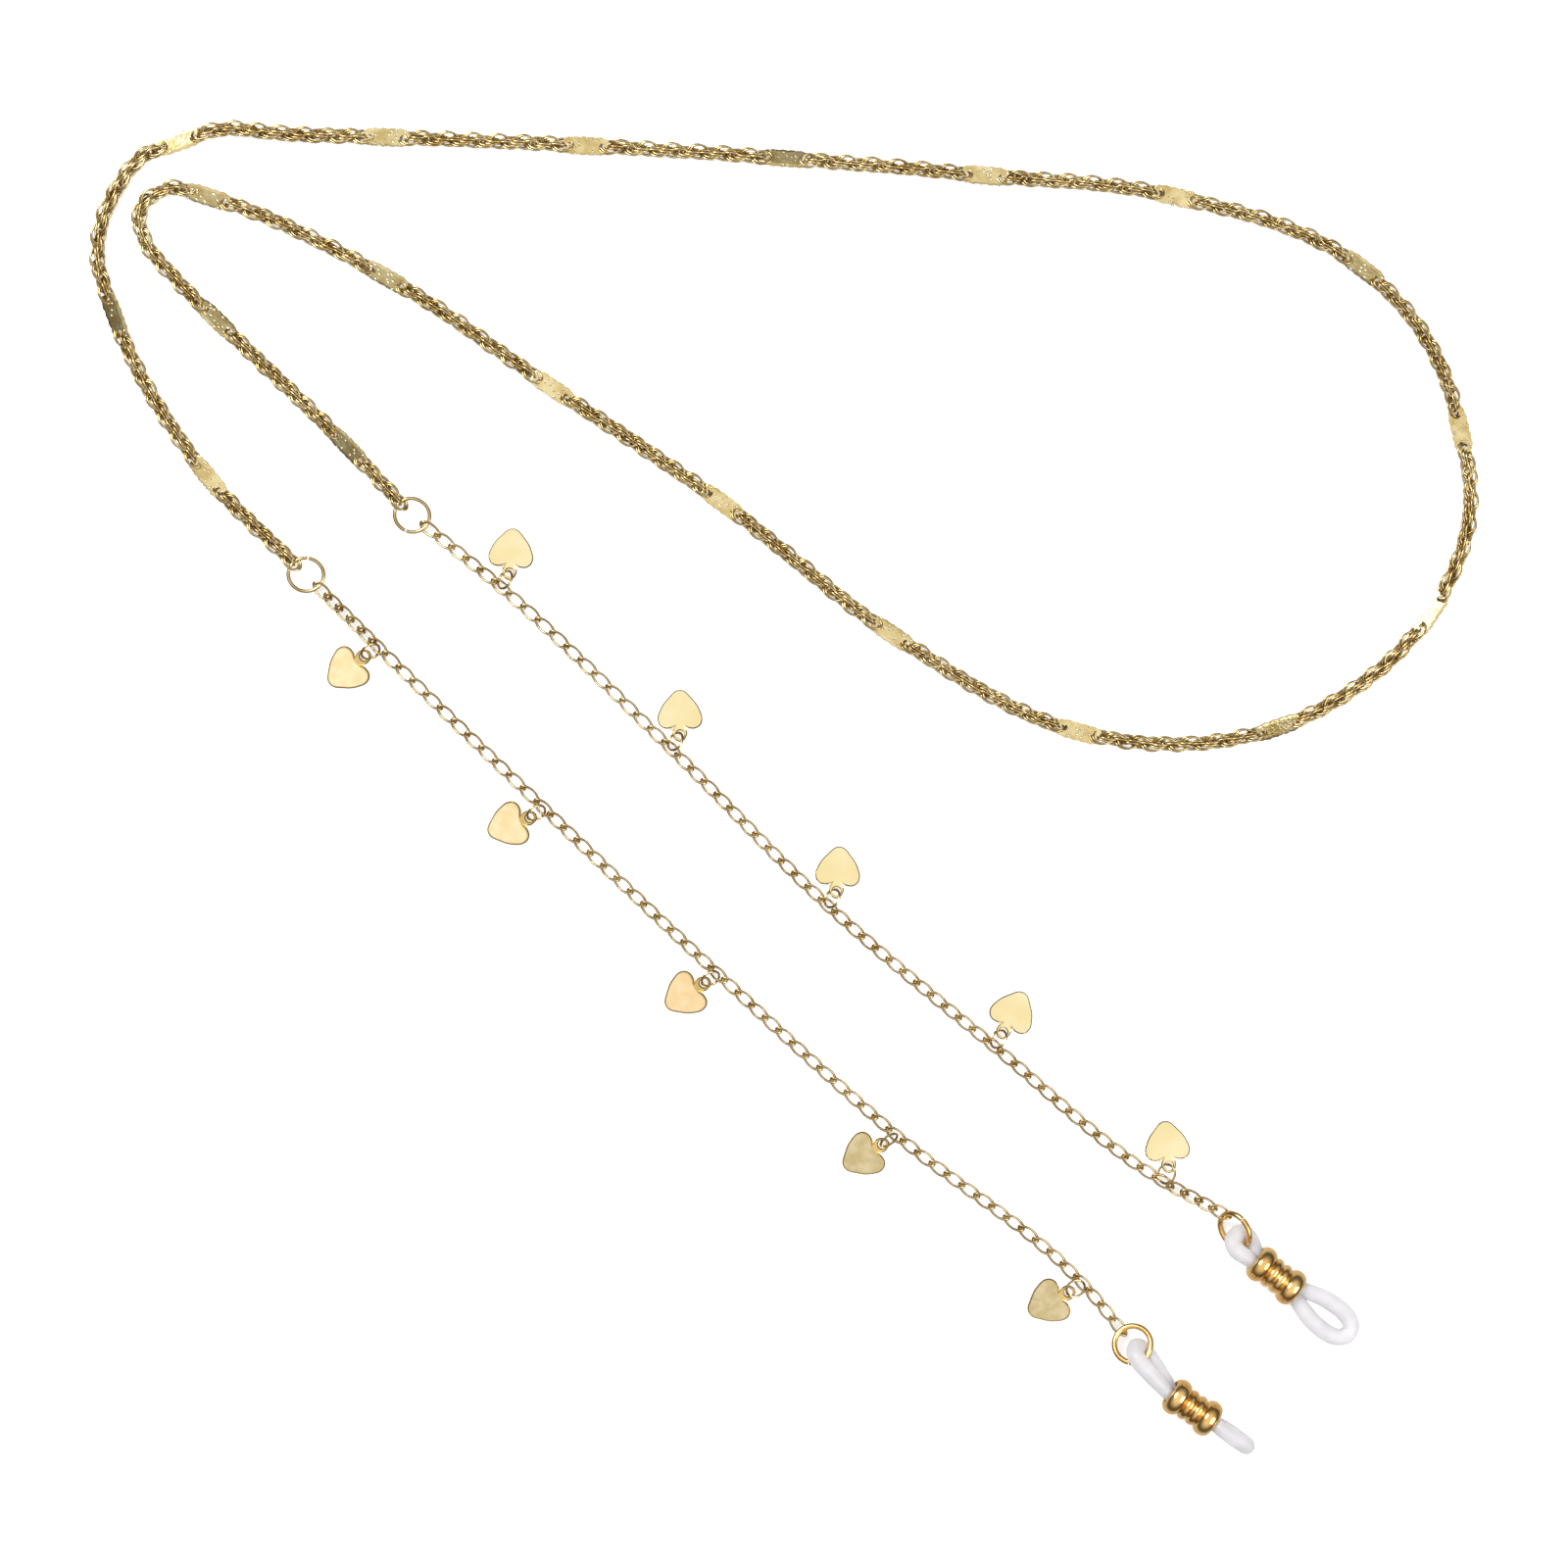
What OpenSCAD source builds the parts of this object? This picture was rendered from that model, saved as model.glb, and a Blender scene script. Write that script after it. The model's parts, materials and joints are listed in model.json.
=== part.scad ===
// Eyeglasses chain strap, laid flat as it is stored. Millimetres, +Z up.
// The neck chain is made of twin round links with flat bars let in; a junction ring at each of its
// ends carries a curb-chain strand with five heart charms, and each strand ends in a split ring,
// a ribbed bead and a soft loop that grips a temple.

/* [Neck chain] */
// Outside diameter of one neck link
neck_link_d = 2.15; // [2.13:0.01:2.17]
// Wire of a neck link
neck_wire = 0.28; // [0.24:0.01:0.28]
// Sideways distance between the two links of a twin
twin_gap = 0.32; // [0.30:0.01:0.33]
// Longest distance between two stations of the neck chain
neck_pitch = 1.55; // [1.50:0.01:1.55]

/* [Bars] */
// Length of a flat bar
bar_len = 5.0; // [4.9:0.05:5.1]
// Width of a flat bar at its middle
bar_w = 2.1; // [2.0:0.05:2.3]
// Thickness of a flat bar
bar_t = 0.4; // [0.35:0.01:0.45]
// Hole at each end of a bar
bar_hole = 1.1; // [1.05:0.01:1.15]

/* [Strands] */
// Outside length of a curb link
curb_len = 2.95; // [2.93:0.01:2.97]
// Outside diameter of a curb link's round end
curb_d = 1.85; // [1.83:0.01:1.87]
// Wire of a curb link
curb_wire = 0.3; // [0.26:0.01:0.3]
// Longest distance between two curb links
curb_pitch = 2.3; // [2.25:0.01:2.3]

/* [Charms] */
// Thickness of a heart
heart_t = 0.4; // [0.35:0.01:0.42]
// Radius of one lobe of a heart
lobe_r = 1.42; // [1.38:0.01:1.44]
// Hole in a heart's eye
eye_hole = 1.05; // [1.0:0.01:1.08]
// Outside diameter of a heart's jump ring
jump_d = 2.6; // [2.58:0.01:2.62]
// Wire of a heart's jump ring
jump_wire = 0.36; // [0.32:0.01:0.37]

/* [Rings and ends] */
// Outside diameter of a junction ring
junction_d = 4.5; // [4.45:0.01:4.5]
// Wire of a junction ring
junction_wire = 0.5; // [0.44:0.01:0.5]
// Outside diameter of an end ring
end_ring_d = 5.0; // [4.95:0.01:5.0]
// Wire of an end ring
end_ring_wire = 0.7; // [0.62:0.01:0.7]
// Diameter of the soft loop's cord
cord_d = 2.05; // [2.0:0.01:2.06]
// Length of a bead
bead_len = 6.5; // [6.3:0.1:6.7]
// Outside diameter of a bead's rims
bead_rim_d = 4.5; // [4.4:0.1:4.6]

/* [Hidden] */
$fn = 48;

// The neck chain's route from junction ring A to junction ring B: x, y and 1 where a bar lies
neck_route = [
    [-44, 31.5, 0], [-51.5, 39.5, 1], [-67, 54.5, 1], [-72, 59.5, 0], [-75.5, 64, 0], [-76, 67, 0],
    [-74.5, 69.5, 0], [-72, 70, 0], [-68, 69, 1], [-47, 59.5, 1], [-27.5, 46.5, 1], [-7.5, 33, 1],
    [12.5, 17.5, 1], [34.5, 6, 1], [46, 4.5, 0], [58, 6.5, 1], [69, 12.5, 0], [76, 20, 1], [80.5, 31, 0],
    [79.5, 41.5, 1], [75, 53, 0], [68, 60.5, 1], [46, 69, 1], [23.5, 71.5, 1], [0, 73.5, 1],
    [-23.5, 75, 1], [-47, 76, 1], [-60.5, 76.5, 0], [-66, 77, 0], [-71.5, 75.5, 1], [-76, 73.5, 0],
    [-79, 69.5, 0], [-80.5, 66, 0], [-81, 62.5, 0], [-79, 55, 1], [-68, 36, 1], [-56.5, 24.5, 0]];
// The strands' routes from junction ring to end ring: x, y and 1 at the link that a heart hangs from
strand_a_route = [
    [-44, 31.5, 0], [-33.5, 23, 1], [-13.5, 4, 1], [5, -14.5, 1], [24.5, -31, 1], [44.5, -47, 1],
    [51.7, -50.8, 0]];
strand_b_route = [
    [-56.5, 24.5, 0], [-48, 16, 1], [-28.5, -3, 1], [-8, -22.5, 1], [13, -41.5, 1], [35, -59, 1],
    [39.6, -64.5, 0]];
// Where each heart lies: the way its jump ring points and the way its tip points, in degrees
hearts_a = [[60, 85], [57, 90], [60, 85], [55, 62], [70, 95]];
hearts_b = [[215, 218], [215, 200], [215, 212], [215, 211], [212, 208]];

// Groups of the neck chain: first and last bar, then first and last gap between bars. Gap 0 starts
// at junction ring A, gap n lies between bars n and n + 1, and gap 20 ends at junction ring B
NECK_GROUPS = [
    [1, 2, 0, 1], [3, 5, 2, 4], [6, 8, 5, 8], [9, 11, 9, 11], [12, 13, 12, 13],
    [14, 15, 14, 15], [16, 17, 16, 17], [18, 18, 18, 18], [19, 20, 19, 20]];
SIDES = ["a", "b"];
function two(n) = n < 10 ? str("0", n) : str(n);
function group_name(what, g) = g[0] == g[1] ? str(what, two(g[0])) : str(what, two(g[0]), "_", two(g[1]));
function bars_name(g) = group_name("neck_bars_", g);
function links_name(g) = group_name("neck_links_", g);

brass = "darkgoldenrod";
pale_gold = "khaki";
// Moves the routes so that the strap's footprint is centred on the origin
shift = [0.17, 0.37];
// Points worked out between two points of a route
curve_steps = 6;
// Distance either side of a place over which a route's direction is taken
look = 0.4;
// Heights above the table: of the neck chain's middle, of a bar, of a junction ring, of a strand
neck_z = neck_link_d / 2 + 0.03;
bar_z = 0.72;
junction_z = 0.66;
strand_z = 0.72;
// Middle-line radii
neck_r = (neck_link_d - neck_wire) / 2;
curb_r = (curb_d - curb_wire) / 2;
jump_r = (jump_d - jump_wire) / 2;
junction_r = (junction_d - junction_wire) / 2;
end_ring_r = (end_ring_d - end_ring_wire) / 2;
// From a bar's middle, and from a junction ring's middle, to the middle of the next neck link
bar_reach = 2.75;
junction_reach = 2.2;
// From a junction ring's middle, and from the strand's end of an end ring, to the middle of a curb link
curb_from_junction = 2.75;
curb_from_end = 0.7;
// How far a bar's holes are from its middle
bar_hole_at = bar_len / 2 - 0.3 - bar_hole / 2;
// Turn of a curb link's round end about the chain
curb_tilt = -45;

// Route geometry: a smooth curve through a route's points, and places along it
function unit(v) = v / norm(v);
function flat(p) = [p[0] + shift[0], p[1] + shift[1]];
function back(p, i) = i > 0 ? flat(p[i]) - flat(p[i - 1]) : flat(p[1]) - flat(p[0]);
function ahead(p, i) = i < len(p) - 1 ? flat(p[i + 1]) - flat(p[i]) : flat(p[i]) - flat(p[i - 1]);
function tangent(p, i) = unit(unit(back(p, i)) * norm(ahead(p, i)) + unit(ahead(p, i)) * norm(back(p, i)));
function hermite(a, b, ta, tb, t) = let (h = norm(b - a))
    (2 * t ^ 3 - 3 * t ^ 2 + 1) * a + (t ^ 3 - 2 * t ^ 2 + t) * h * ta
    + (3 * t ^ 2 - 2 * t ^ 3) * b + (t ^ 3 - t ^ 2) * h * tb;
function smooth(p) = [
    for (i = [0:len(p) - 2], k = [0:curve_steps - 1])
        hermite(flat(p[i]), flat(p[i + 1]), tangent(p, i), tangent(p, i + 1), k / curve_steps),
    flat(p[len(p) - 1])];
function distances(c) = [
    for (i = 0, s = 0; i < len(c); s = s + (i < len(c) - 1 ? norm(c[i + 1] - c[i]) : 0), i = i + 1) s];
function stops(p, d) = [for (i = [0:len(p) - 1]) if (i == 0 || p[i][2] == 1 || i == len(p) - 1) d[i * curve_steps]];
function span_at(d, s) = max([for (k = [0:len(d) - 2]) if (d[k] <= max(s, 0)) k]);
function place(c, d, s) = let (k = span_at(d, s), f = (s - d[k]) / (d[k + 1] - d[k])) c[k] * (1 - f) + c[k + 1] * f;
function heading(c, d, s) = let (v = place(c, d, s + look) - place(c, d, s - look)) atan2(v[1], v[0]);

neck = smooth(neck_route);
neck_d = distances(neck);
neck_stops = stops(neck_route, neck_d);
strand_routes = [strand_a_route, strand_b_route];
strands = [for (r = strand_routes) smooth(r)];
strands_d = [for (c = strands) distances(c)];
strands_stops = [for (k = [0, 1]) stops(strand_routes[k], strands_d[k])];

// Puts a piece at a place, turned to a heading in plan, raised at its far end, and rolled
module at(p, turn = 0, rise = 0, roll = 0) {
    translate(p) rotate([0, 0, turn]) rotate([0, -rise, 0]) rotate([roll, 0, 0]) children();
}

module ring(r, wire) {
    rotate_extrude() translate([r, 0]) circle(d = wire);
}

// Two equal links side by side; the next station's pair is turned a quarter about the chain
module twin(upright) {
    for (side = [-1, 1])
        rotate([upright ? 90 : 0, 0, 0]) translate([0, 0, side * twin_gap / 2]) ring(neck_r, neck_wire);
}

module neck_links(g) {
    color(brass)
        for (gap = [g[2]:g[3]]) {
            start = neck_stops[gap] + (gap == 0 ? junction_reach : bar_reach);
            end = neck_stops[gap + 1] - (gap == 20 ? junction_reach : bar_reach);
            count = 2 * ceil((end - start) / neck_pitch / 2);
            for (k = [0:count]) {
                s = start + (end - start) * k / count;
                xy = place(neck, neck_d, s);
                at([xy[0], xy[1], neck_z], heading(neck, neck_d, s)) twin(k % 2 == 0);
            }
        }
}

// Outline of a bar: long sides that bow a little and narrow to the ends
function bar_side(x) = bar_w / 2 * (1 - 0.42 * abs(2 * x / bar_len) ^ 5);
module bar() {
    steps = 10;
    xs = [for (k = [-steps:steps]) bar_len / 2 * k / steps];
    difference() {
        translate([0, 0, -bar_t / 2])
            linear_extrude(bar_t)
                polygon(concat(
                    [for (x = xs) [x, bar_side(x)]],
                    [for (k = [2 * steps:-1:0]) [xs[k], -bar_side(xs[k])]]));
        for (side = [-1, 1])
            translate([side * bar_hole_at, 0, -1]) cylinder(d = bar_hole, h = 2);
    }
}

module neck_bars(g) {
    color(pale_gold)
        for (n = [g[0]:g[1]]) {
            s = neck_stops[n];
            xy = place(neck, neck_d, s);
            at([xy[0], xy[1], bar_z], heading(neck, neck_d, s)) bar();
        }
}

module junction_ring(side) {
    xy = side == 0 ? neck[0] : neck[len(neck) - 1];
    color(brass) translate([xy[0], xy[1], junction_z]) ring(junction_r, junction_wire);
}

// A curb link: two round ends turned opposite ways about the chain, joined by slanting legs
module curb_link() {
    end_x = (curb_len - curb_d) / 2;
    leg_y = curb_r * cos(curb_tilt);
    leg_z = curb_r * sin(curb_tilt);
    for (end = [-1, 1])
        translate([end * end_x, 0, 0])
            rotate([end * curb_tilt, 0, 0])
                rotate_extrude(start = end > 0 ? -90 : 90, angle = 180)
                    translate([curb_r, 0]) circle(d = curb_wire);
    for (side = [-1, 1]) {
        from = [-end_x - 0.05, side * leg_y, -side * leg_z];
        to = [end_x + 0.05, side * leg_y, side * leg_z];
        along = to - from;
        translate(from)
            rotate([0, acos(along[2] / norm(along)), atan2(along[1], along[0])])
                cylinder(d = curb_wire - 0.03, h = norm(along));
    }
}

// Distances of the curb links of stretch k (1 to 6) of a strand: 1 to 5 end at the link of a heart
function curb_places(side, k) = let (
        stop = strands_stops[side],
        last = k == 6,
        from = k == 1 ? curb_from_junction : stop[k - 1],
        to = last ? stop[6] - curb_from_end : stop[k],
        count = ceil((to - from) / curb_pitch - 0.02))
    [for (n = [k == 1 ? 0 : 1:count]) from + (to - from) * n / count];
// A strand climbs to its end ring over its last few links
function strand_height(side, s) = let (
        left = strands_d[side][len(strands_d[side]) - 1] - s, t = min(1, max(0, 1 - left / climb_len)))
    strand_z + (end_z[side] - strand_z) * t * t * (3 - 2 * t);
function strand_place(side, s) = let (xy = place(strands[side], strands_d[side], s))
    [xy[0], xy[1], strand_height(side, s)];
function strand_rise(side, s) = atan2(strand_height(side, s + look) - strand_height(side, s - look), 2 * look);

module strand(side, k) {
    color(brass)
        for (s = curb_places(side, k))
            at(strand_place(side, s), heading(strands[side], strands_d[side], s), strand_rise(side, s))
                curb_link();
}

// A heart hangs from the last link of its stretch
function hang_place(side, k) = strand_place(side, strands_stops[side][k]);
function heart_turns(side, k) = [hearts_a, hearts_b][side][k - 1];
// A jump ring leans nearly upright: its lean, and where its middle is, out from the strand and up
jump_lean = -70;
jump_out = 1.0;
jump_z = 1.25;
// Where the heart's eye is on that ring, and how far the heart's tip dips towards the table
eye_z = 0.75;
eye_out = jump_out + 0.96;
heart_dip = 4.2;

module jump_ring(side, k) {
    p = hang_place(side, k);
    turn = heart_turns(side, k)[0];
    color(brass)
        translate([p[0], p[1], jump_z]) rotate([0, 0, turn]) translate([jump_out, 0, 0])
            rotate([jump_lean, 0, 0]) ring(jump_r, jump_wire);
}

// Where a heart's lobes are centred, how far its tip is from the eye, and the eye's outer radius
lobe_x = 1.55;
lobe_y = 1.23;
tip_x = 5.2;
eye_r = 0.85;

// A stamped heart in the XY plane, its eye at the origin and its tip along +X
module heart_plate() {
    reach = norm([tip_x - lobe_x, lobe_y]);
    lean = atan2(lobe_y, tip_x - lobe_x) + asin(lobe_r / reach);
    side_len = sqrt(reach ^ 2 - lobe_r ^ 2) - 0.1;
    shoulder = [tip_x - side_len * cos(lean), side_len * sin(lean)];
    difference() {
        union() {
            for (side = [-1, 1])
                translate([lobe_x, side * lobe_y, -heart_t / 2]) cylinder(r = lobe_r, h = heart_t);
            translate([0, 0, -heart_t / 2])
                linear_extrude(heart_t)
                    polygon([
                        [tip_x, 0], shoulder, [lobe_x, lobe_y], [0.8, 0],
                        [lobe_x, -lobe_y], [shoulder[0], -shoulder[1]]]);
            translate([0, 0, -heart_t / 2]) cylinder(r = eye_r, h = heart_t);
        }
        translate([0, 0, -1]) cylinder(d = eye_hole, h = 2);
    }
}

module heart(side, k) {
    p = hang_place(side, k);
    turns = heart_turns(side, k);
    eye = [p[0] + eye_out * cos(turns[0]), p[1] + eye_out * sin(turns[0]), eye_z];
    color(pale_gold) at(eye, turns[1], -heart_dip) heart_plate();
}

// The two ends, A then B. Where the bead's near mouth is, its heading in plan and its height;
// bend_r is the middle-line radius of the cord's bends
mouth = [[55.1, -55.9], [45.1, -71.5]];
bead_turn = [-38.5, -35];
bend_r = 1.56;
axis_z = [bead_rim_d / 2, bend_r + cord_d / 2];
// On the ring's side: the cord's turn off the bead's axis, the roll of its bend, and how far out it is
bend_turn = [-12.5, -17];
bend_roll = [41, 90];
bend_out = [1.9, 4.95];
// On the temple's side: the roll of the loop and how far out its bend is
temple_roll = [0, 90];
loop_out = [5.95, 2.9];
// How far each end ring leans down towards its strand
ring_lean = [10, 20];
// The cord's two legs in the bead: how far each is off the axis, its squeezed size, and the bore
pinch = 0.45;
leg_d = cord_d - 0.06;
bead_bore = 3.16;
// Height of each strand's last link, and the length over which the strand climbs to it
end_z = [1.75, 1.1];
climb_len = 8;

// Half of the cord's loop: a bend of cord and two legs that come together in the bead
module cord_bend(out) {
    translate([out, 0, 0])
        rotate_extrude(start = -90, angle = 180) translate([bend_r, 0]) circle(d = cord_d);
    for (side = [-1, 1]) {
        along = [out + 0.05, side * (bend_r - pinch), 0];
        translate([0, side * pinch, 0])
            rotate([0, 90, atan2(along[1], along[0])]) cylinder(d = leg_d, h = norm(along));
    }
}

module end_frame(side) {
    xy = flat(mouth[side]);
    at([xy[0], xy[1], axis_z[side]], bead_turn[side]) children();
}

module ring_side(side) {
    end_frame(side) rotate([0, 0, 180 + bend_turn[side]]) rotate([bend_roll[side], 0, 0]) children();
}

// The whole soft loop: one bend through the end ring, one for the temple, and the legs between them
// pressed into one plug where the bead holds them
module temple_loop(side) {
    color("whitesmoke") {
        ring_side(side) cord_bend(bend_out[side]);
        end_frame(side) {
            translate([bead_len, 0, 0]) rotate([temple_roll[side], 0, 0]) cord_bend(loop_out[side]);
            translate([-0.25, 0, 0]) rotate([0, 90, 0])
                cylinder(r = pinch + leg_d / 2 + 0.03, h = bead_len + 0.5);
        }
    }
}

// A split ring hooked through the strand's last link and the cord's bend
module end_ring(side) {
    color("goldenrod")
        ring_side(side) translate([bend_out[side], 0, 0]) rotate([0, 0, -ring_lean[side]])
            rotate([90, 0, 0]) translate([end_ring_r, 0, 0]) ring(end_ring_r, end_ring_wire);
}

// A turned bead: two fat rims and two thin ribs on a sleeve
module bead(side) {
    rim = bead_len * 0.17;
    rib = 0.5;
    rib_pitch = 1.2;
    sleeve_r = 1.72;
    color("goldenrod")
        end_frame(side) rotate([0, 90, 0])
            rotate_extrude()
                difference() {
                    union() {
                        translate([0, rim * 0.6]) square([sleeve_r, bead_len - rim * 1.2]);
                        for (y = [rim, bead_len - rim]) translate([bead_rim_d / 2 - rim, y]) circle(r = rim);
                        for (half = [-0.5, 0.5])
                            translate([1.4, bead_len / 2 + half * rib_pitch]) circle(r = rib);
                    }
                    translate([-5, -1]) square([5 + bead_bore / 2, bead_len + 2]);
                }
}

for (g = NECK_GROUPS) {
    neck_bars(g);
    neck_links(g);
}
for (side = [0, 1]) {
    s = SIDES[side];
    junction_ring(side);
    end_ring(side);
    bead(side);
    temple_loop(side);
    for (k = [1:6])
        strand(side, k);
    for (k = [1:5]) {
        jump_ring(side, k);
        heart(side, k);
    }
}
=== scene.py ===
import json
import math
import bpy
import numpy as np
from mathutils import Euler, Matrix, Vector


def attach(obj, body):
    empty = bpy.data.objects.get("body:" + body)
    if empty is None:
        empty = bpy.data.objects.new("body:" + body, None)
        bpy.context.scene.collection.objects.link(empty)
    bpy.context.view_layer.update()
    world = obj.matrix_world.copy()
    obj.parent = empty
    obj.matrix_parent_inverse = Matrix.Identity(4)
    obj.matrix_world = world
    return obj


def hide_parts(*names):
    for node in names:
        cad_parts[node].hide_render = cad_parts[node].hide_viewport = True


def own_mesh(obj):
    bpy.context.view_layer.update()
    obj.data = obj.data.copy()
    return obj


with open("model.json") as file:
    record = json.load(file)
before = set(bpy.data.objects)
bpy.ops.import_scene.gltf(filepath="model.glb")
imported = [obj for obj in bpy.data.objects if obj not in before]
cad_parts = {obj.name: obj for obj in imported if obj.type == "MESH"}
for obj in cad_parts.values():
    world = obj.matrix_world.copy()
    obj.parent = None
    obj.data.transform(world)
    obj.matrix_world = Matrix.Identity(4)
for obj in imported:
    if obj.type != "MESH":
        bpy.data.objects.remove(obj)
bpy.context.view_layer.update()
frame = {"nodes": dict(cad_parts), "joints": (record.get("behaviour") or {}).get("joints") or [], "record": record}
mm = 0.001


# Camera, table and light. The strap lies on a white table and is looked at from straight above;
# a broad soft light hangs over it, and the room is dimmer towards its walls, so that every wire
# shows a bright line and a dark one.
def deselect():
    """Nothing stays selected, so that the next tool acts on the new piece alone."""
    if bpy.context.mode != "OBJECT":
        bpy.ops.object.mode_set(mode="OBJECT")
    bpy.ops.object.select_all(action="DESELECT")


def linear(hex_colour):
    """An sRGB hex colour as linear RGBA."""
    parts = [int(hex_colour[i:i + 2], 16) / 255 for i in (0, 2, 4)]
    return tuple(p / 12.92 if p <= 0.04045 else ((p + 0.055) / 1.055) ** 2.4 for p in parts) + (1.0,)


def add_node(tree, kind, settings, inputs):
    """One shader node with its settings; each input is a number, a colour or another node's output."""
    made = tree.nodes.new(kind)
    for name, value in settings.items():
        setattr(made, name, value)
    for name, value in inputs.items():
        if isinstance(value, bpy.types.NodeSocket):
            tree.links.new(value, made.inputs[name])
        else:
            made.inputs[name].default_value = value
    return made


view_width = 184.97 * mm
focal_length = 100
sensor_width = 36
camera_data = bpy.data.cameras.new("camera")
camera_data.lens = focal_length
camera_data.sensor_width = sensor_width
camera_data.clip_start = 0.01
camera = bpy.data.objects.new("camera", camera_data)
bpy.context.scene.collection.objects.link(camera)
camera.location = (0.0, 0.2 * mm, view_width * focal_length / sensor_width)
bpy.context.scene.camera = camera
bpy.context.scene.view_settings.view_transform = "Standard"

deselect()
bpy.ops.mesh.primitive_plane_add(size=6, location=(0, 0, 0))
table = bpy.context.object
table.name = "table"
# Painted white board: matt, a trace of unevenness in its grey
board = bpy.data.materials.new("matt_white_board")
board.use_nodes = True
tree = board.node_tree
shader = tree.nodes["Principled BSDF"]
where = add_node(tree, "ShaderNodeTexCoord", {}, {})
cloud = add_node(tree, "ShaderNodeTexNoise", {}, {"Vector": where.outputs["Object"], "Scale": 14.0})
tone = add_node(tree, "ShaderNodeMix", {"data_type": "RGBA"}, {"Factor": cloud.outputs["Fac"]})
tone.inputs[6].default_value = linear("FAFAFA")
tone.inputs[7].default_value = linear("FDFDFD")
tree.links.new(tone.outputs[2], shader.inputs["Base Color"])
shader.inputs["Roughness"].default_value = 0.9
shader.inputs["Specular IOR Level"].default_value = 0.1
shader.inputs["Emission Color"].default_value = (1, 1, 1, 1)
shader.inputs["Emission Strength"].default_value = 0.4
table.data.materials.append(board)
table.visible_glossy = False

room = bpy.data.worlds.new("room")
bpy.context.scene.world = room
room.use_nodes = True
tree = room.node_tree
tree.nodes.clear()
way = add_node(tree, "ShaderNodeTexCoord", {}, {})
parts = add_node(tree, "ShaderNodeSeparateXYZ", {}, {"Vector": way.outputs["Generated"]})
level = add_node(tree, "ShaderNodeMapRange", {}, {"Value": parts.outputs["Z"], "From Min": -1.0})
height = add_node(tree, "ShaderNodeValToRGB", {}, {"Fac": level.outputs["Result"]})
# From straight down to straight up: the white table, a dark band of room at eye height, the soft light
ramp = height.color_ramp
ramp.elements[0].color = (0.75, 0.72, 0.68, 1)
ramp.elements[1].color = (1.0, 1.0, 1.0, 1)
for at, grey in (
        (0.34, 0.60), (0.44, 0.18), (0.56, 0.08), (0.70, 0.20), (0.80, 0.46), (0.90, 0.82), (0.96, 1.0)):
    ramp.elements.new(at).color = (grey, grey, grey, 1)
ray = add_node(tree, "ShaderNodeLightPath", {}, {})
seen = add_node(tree, "ShaderNodeMix", {"data_type": "RGBA"}, {"Factor": ray.outputs["Is Camera Ray"]})
tree.links.new(height.outputs["Color"], seen.inputs[6])
seen.inputs[7].default_value = linear("FDFDFD")
glow = add_node(tree, "ShaderNodeBackground", {}, {"Color": seen.outputs[2], "Strength": 1.05})
add_node(tree, "ShaderNodeOutputWorld", {}, {"Surface": glow.outputs["Background"]})

for name, spot, size, watts in (
        ("key_light", (-0.35, 0.35, 0.55), 0.30, 3.6),
        ("fill_light", (0.45, -0.25, 0.50), 0.40, 2.0)):
    lamp = bpy.data.lights.new(name, "AREA")
    lamp.size = size
    lamp.energy = watts
    lamp_object = bpy.data.objects.new(name, lamp)
    bpy.context.scene.collection.objects.link(lamp_object)
    lamp_object.location = spot
    lamp_object.rotation_euler = Vector(spot).to_track_quat("Z", "Y").to_euler()

# Neck chain. Gold-toned brass cable chain with its links in twos: two wire ovals lie side by side,
# and the next two pass through them a quarter turn round. Each oval is drawn wire, bent and
# closed, then the whole chain is tumbled bright.
twin_half = 0.15  # half the distance between two twins
twin_stagger = 0.12  # how far each twin lies ahead of or behind the middle
drop = 0.15  # the ovals are less wide than the CAD links, so the chain sinks this much towards the table
chain_pitch = 1.55  # from one pair of twins to the next



def solids_of(name):
    """The separate closed shapes of a CAD node: for each, the points of its surface."""
    mesh = frame["nodes"][name].data
    at = np.zeros(len(mesh.vertices) * 3)
    mesh.vertices.foreach_get("co", at)
    corners = np.zeros(len(mesh.polygons) * 3, int)
    mesh.polygons.foreach_get("vertices", corners)
    spots, same = np.unique(at.reshape(-1, 3).round(8), axis=0, return_inverse=True)
    corners = same.ravel()[corners].reshape(-1, 3)
    label = np.arange(len(spots))
    while True:
        low = label[corners].min(axis=1)
        lower = label.copy()
        np.minimum.at(lower, corners.ravel(), np.repeat(low, 3))
        lower = lower[lower]
        if (lower == label).all():
            break
        label = lower
    return [spots[label == k] for k in np.unique(label)]


def lie_of(points):
    """Where a solid lies: its middle, its long axis and its thin axis."""
    middle = (points.min(axis=0) + points.max(axis=0)) / 2
    spread = points - points.mean(axis=0)
    values, axes = np.linalg.eigh(spread.T @ spread)
    return Vector(middle), Vector(axes[:, 2]), Vector(axes[:, 0])


def rightward(way):
    """Above zero where a direction in the table's plane runs right, or runs up and hardly left."""
    return way.x + way.y / 9


def frame_at(middle, along, up):
    """The placing of a piece modelled with X along it and Z up."""
    x = along.normalized()
    y = up.cross(x).normalized()
    z = x.cross(y)
    turn = Matrix((x, y, z)).transposed().to_4x4()
    return Matrix.Translation(middle) @ turn


def copy_of(piece, name, placing):
    """A copy of a piece with a mesh of its own, put in its place."""
    made = piece.copy()
    made.data = piece.data.copy()
    made.name = name
    made.data.name = name
    bpy.context.scene.collection.objects.link(made)
    made.data.transform(placing)
    return made


def join(pieces, name):
    """Several pieces made into one mesh."""
    deselect()
    for piece in pieces:
        piece.select_set(True)
    bpy.context.view_layer.objects.active = pieces[0]
    if len(pieces) > 1:
        bpy.ops.object.join()
    pieces[0].name = name
    pieces[0].data.name = name
    return pieces[0]


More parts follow.
